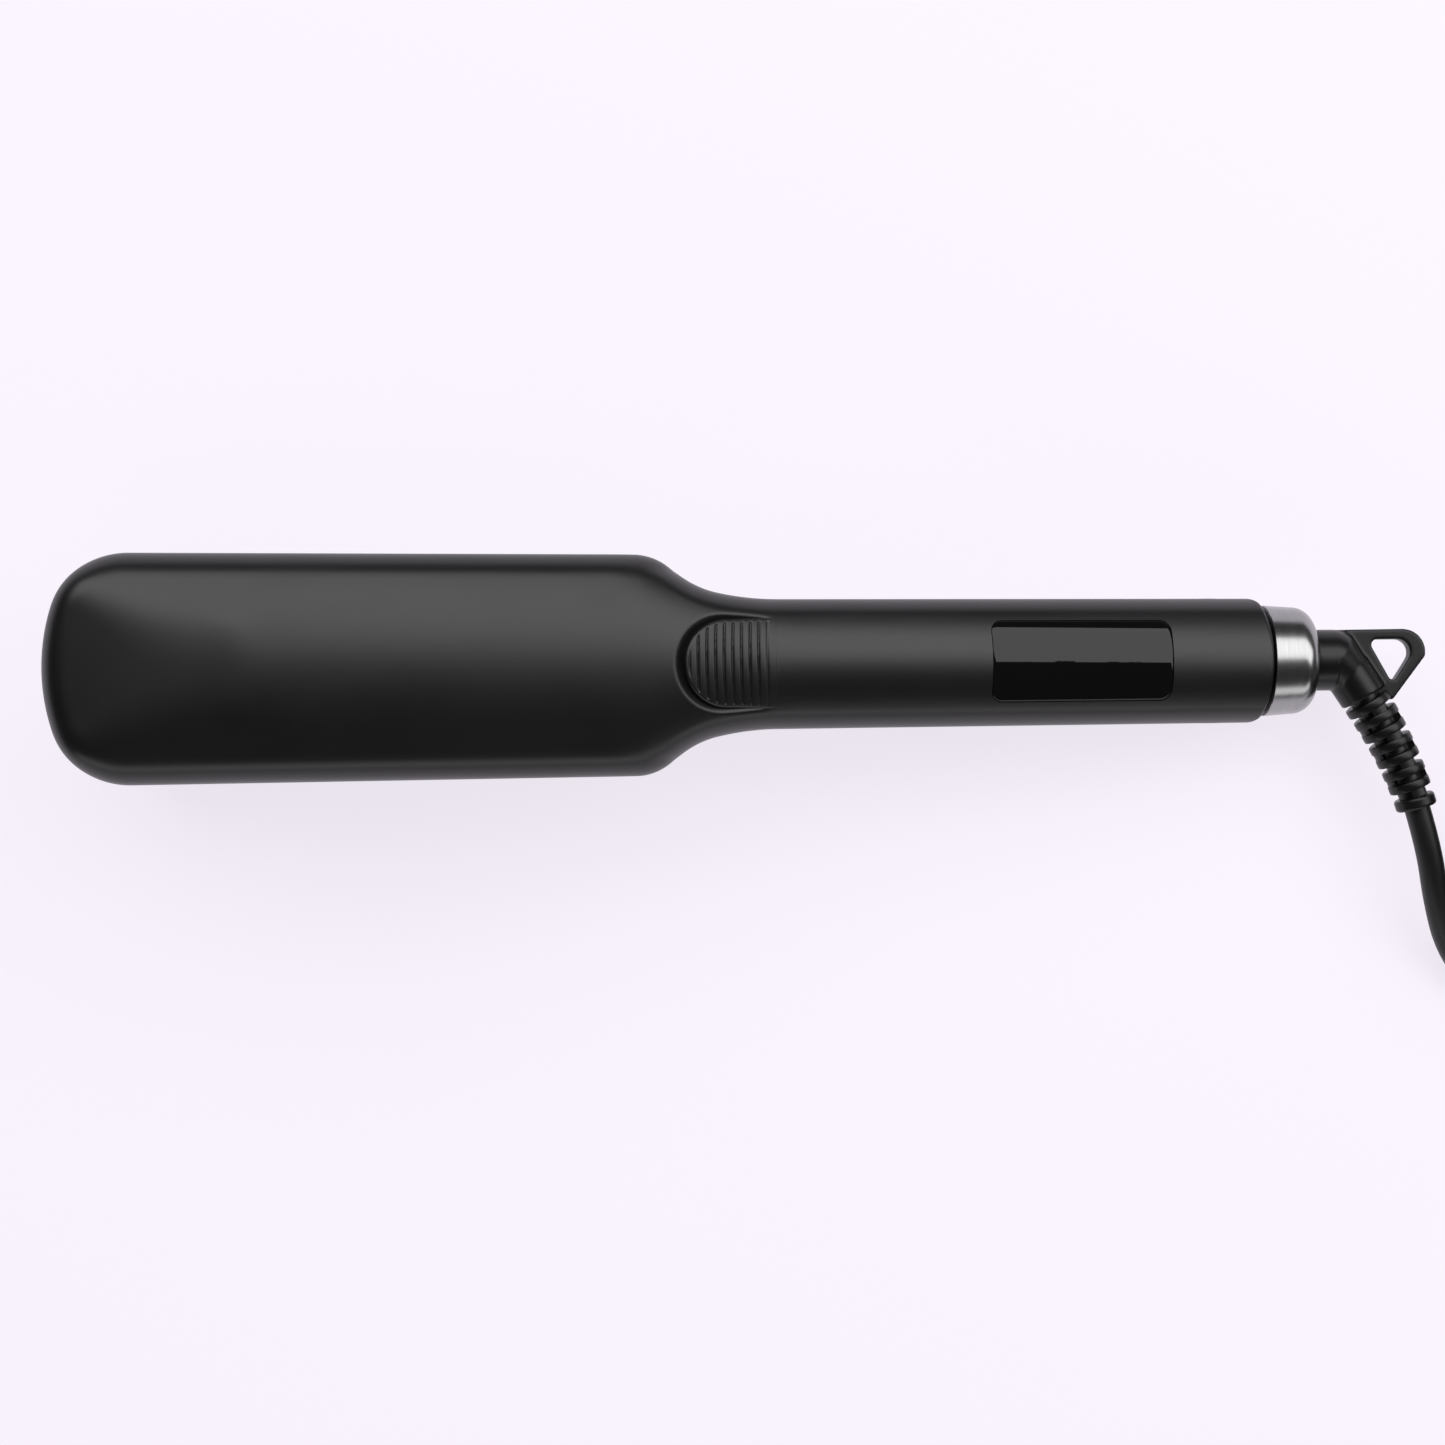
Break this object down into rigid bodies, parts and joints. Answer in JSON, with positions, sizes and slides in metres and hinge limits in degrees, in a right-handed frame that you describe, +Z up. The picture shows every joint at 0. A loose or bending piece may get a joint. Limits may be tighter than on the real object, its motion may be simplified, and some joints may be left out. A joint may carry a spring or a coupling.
{
  "type": "flat iron",
  "caption": "Hair straightening iron: two sprung arms with floating heated plates, a display window, a steel end cup and a swivelling cord with a hanging loop.",
  "frame": {"origin": "centre of the iron's footprint on the surface it lies on, between the tip of the lower arm and the end of the swivel spindle", "axes": "+X from the tips towards the cord end, +Y across the arms, +Z up from the face the lower arm lies on"},
  "size_m": [0.4482, 0.1203, 0.0798],
  "materials": {
    "soft_touch_black": "soft-touch matte black paint over moulded plastic",
    "heatproof_black": "fine-textured heat-proof plastic",
    "pad_rubber": "matte ribbed rubber",
    "cord_rubber": "smooth satin rubber",
    "boot_rubber": "matte moulded rubber",
    "satin_steel": "turned satin steel",
    "plate_coat": "smooth ceramic coat on aluminium",
    "window_gloss": "high-gloss tinted window",
    "gasket_foam": "thin foam",
    "lcd_glass": "polished display panel",
    "board_green": "solder-masked circuit board",
    "chip_black": "moulded component bodies",
    "switch_metal": "small stamped switch cans",
    "lead_red": "silicone lead insulation",
    "spring_steel": "bright spring wire",
    "screw_black": "black zinc screws",
    "zinc_steel": "zinc-plated pressed steel",
    "housing_black": "moulded nylon",
    "bush_white": "natural acetal",
    "core_grey": "turned nylon",
    "ring_brass": "polished brass",
    "heater_ceramic": "fired ceramic",
    "mica": "mica sheet",
    "plug_black": "satin moulded plug",
    "plug_nickel": "nickel-plated brass"
  },
  "bodies": {
    "lower_arm": {"lower_shell": "soft_touch_black", "lower_handle_cover": "heatproof_black", "lower_thumb_pad": "pad_rubber", "lower_plate_carrier": "heatproof_black", "lower_cover_screws": "screw_black", "lower_float_springs": "spring_steel", "lower_lead_wires": "lead_red", "hinge_housing": "housing_black", "hinge_pin": "zinc_steel", "hinge_pin_caps": "housing_black", "hinge_spring": "spring_steel", "housing_screws": "zinc_steel", "end_cup": "satin_steel", "swivel_bush": "bush_white", "brush_contacts": "ring_brass"},
    "lower_plate_assembly": {"lower_plate": "plate_coat", "lower_heater": "heater_ceramic", "lower_mica_sheet": "mica", "lower_heater_clamp": "spring_steel", "lower_heat_sensors": "chip_black"},
    "upper_arm": {"upper_shell": "soft_touch_black", "upper_handle_cover": "heatproof_black", "upper_thumb_pad": "pad_rubber", "upper_plate_carrier": "heatproof_black", "upper_cover_screws": "screw_black", "upper_float_springs": "spring_steel", "upper_lead_wires": "lead_red", "upper_hinge_bracket": "zinc_steel", "bracket_screws": "zinc_steel", "display_window": "window_gloss", "display_gasket": "gasket_foam", "lcd_module": "lcd_glass", "control_board": "board_green", "board_components": "chip_black", "tact_switches": "switch_metal"},
    "upper_plate_assembly": {"upper_plate": "plate_coat", "upper_heater": "heater_ceramic", "upper_mica_sheet": "mica", "upper_heater_clamp": "spring_steel", "upper_heat_sensors": "chip_black"},
    "power_key": {"power_button": "heatproof_black"},
    "plus_key": {"plus_button": "heatproof_black"},
    "minus_key": {"minus_button": "heatproof_black"},
    "swivel": {"swivel_core": "core_grey", "slip_rings": "ring_brass", "retaining_ring": "spring_steel", "cord_boot": "boot_rubber", "cord": "cord_rubber", "cord_coil": "cord_rubber", "cord_tie": "pad_rubber", "cord_tail": "cord_rubber", "plug_body": "plug_black", "plug_pins": "plug_nickel"}
  },
  "joints": [
    {"name": "arm_hinge", "type": "hinge", "parent": "lower_arm", "child": "upper_arm", "pos_m": [0.1162, 0, 0.0161], "axis": [0, -1, 0], "range_deg": [0, 11], "stiffness_Nm_per_rad": 1.7, "springref_deg": -20.05, "deforming": ["hinge_spring"]},
    {"name": "lower_plate_float", "type": "slide", "parent": "lower_arm", "child": "lower_plate_assembly", "axis": [0, 0, -1], "range_m": [0, 0.0011], "stiffness_N_per_m": 3500, "springref_m": -0.0012, "deforming": ["lower_float_springs"]},
    {"name": "upper_plate_float", "type": "slide", "parent": "upper_arm", "child": "upper_plate_assembly", "axis": [0.1908, 0, 0.9816], "range_m": [0, 0.0011], "stiffness_N_per_m": 3500, "springref_m": -0.0012, "deforming": ["upper_float_springs"]},
    {"name": "power_press", "type": "slide", "parent": "upper_arm", "child": "power_key", "axis": [0.1908, 0, 0.9816], "range_m": [0, 0.0005], "stiffness_N_per_m": 400, "springref_m": -0.001},
    {"name": "plus_press", "type": "slide", "parent": "upper_arm", "child": "plus_key", "axis": [0.1908, 0, 0.9816], "range_m": [0, 0.0005], "stiffness_N_per_m": 400, "springref_m": -0.001},
    {"name": "minus_press", "type": "slide", "parent": "upper_arm", "child": "minus_key", "axis": [0.1908, 0, 0.9816], "range_m": [0, 0.0005], "stiffness_N_per_m": 400, "springref_m": -0.001},
    {"name": "cord_swivel", "type": "hinge", "parent": "lower_arm", "child": "swivel", "pos_m": [0.1362, 0, 0.0161], "axis": [1, 0, 0], "continuous": true}
  ]
}
